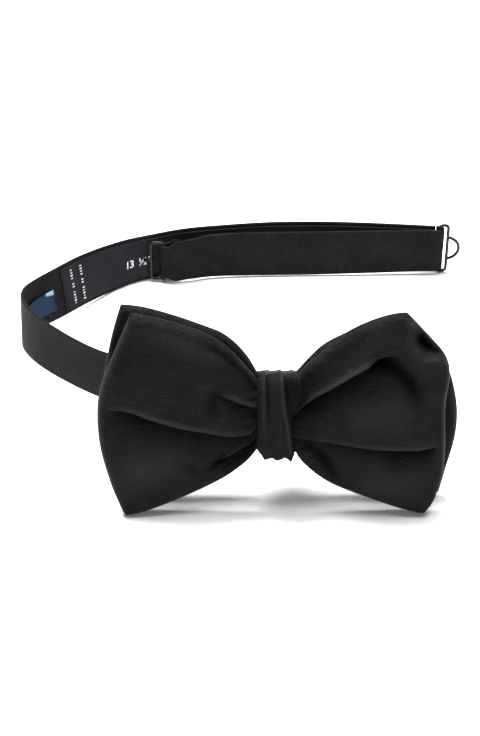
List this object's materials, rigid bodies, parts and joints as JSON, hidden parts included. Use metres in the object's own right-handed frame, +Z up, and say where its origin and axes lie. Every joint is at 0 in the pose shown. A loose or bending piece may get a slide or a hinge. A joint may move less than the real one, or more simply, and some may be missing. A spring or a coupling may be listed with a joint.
{
  "type": "bow tie",
  "caption": "Ready-tied satin butterfly bow on an adjustable neck band with a wire eye, an adjuster hook and a tab hook, standing on its edge.",
  "frame": {"origin": "middle of the bottom of the bounding box, on the surface that the tie stands on", "axes": "+X to the right of the bow seen from its front, +Y away from its front, +Z up"},
  "size_m": [0.1634, 0.1404, 0.075],
  "materials": {
    "satin": "black silk satin",
    "interlining": "unbleached woven interlining",
    "thread": "black sewing thread",
    "tape": "dark grey woven tape",
    "label": "navy woven label",
    "wire": "black lacquered steel wire"
  },
  "bodies": {
    "root": {"front_bow": "satin", "rear_bow": "satin", "knot_wrap": "satin", "neck_band": "satin", "front_bow_interlining": "interlining", "rear_bow_interlining": "interlining", "knot_wrap_interlining": "interlining", "neck_band_interlining": "interlining", "binding_thread": "thread", "knot_stitches": "thread", "tab_stitches": "thread", "tape_stitches": "thread", "buttonhole_stitching": "thread", "size_tape": "tape", "woven_label": "label"},
    "eye_carriage": {"strap_fold": "satin", "return_strap": "satin", "return_strap_interlining": "interlining"},
    "eye": {"band_eye": "wire"},
    "adjuster_end": {"return_strap_hem": "satin", "hem_stitches": "thread"},
    "adjuster": {"adjuster_hook": "wire"},
    "tab_hook": {"tab_hook": "wire"}
  },
  "joints": [
    {"name": "eye_travel", "type": "slide", "parent": "root", "child": "eye_carriage", "axis": [1, 0, 0], "range_m": [0, 0.0508], "deforming": ["return_strap", "return_strap_interlining"]},
    {"name": "eye_swing", "type": "hinge", "parent": "eye_carriage", "child": "eye", "pos_m": [0.07339, 0.06353, 0.0115], "axis": [0, 0, 1], "range_deg": [-85, 85]},
    {"name": "adjuster_travel", "type": "slide", "parent": "eye_carriage", "child": "adjuster_end", "axis": [1, 0, 0], "range_m": [0, 0.0508], "deforming": ["return_strap", "return_strap_interlining"]},
    {"name": "adjuster_swing", "type": "hinge", "parent": "adjuster_end", "child": "adjuster", "pos_m": [-0.03111, 0.05783, 0.0099], "axis": [0, 0, 1], "range_deg": [0, 110]},
    {"name": "tab_hook_swing", "type": "hinge", "parent": "root", "child": "tab_hook", "pos_m": [0.05449, -0.04616, 0.0373], "axis": [0, 0.2079, 0.9781], "range_deg": [-5, 110]}
  ],
  "couplings": [
    {"joint": "adjuster_travel", "follows": "eye_travel", "ratio": 1}
  ]
}
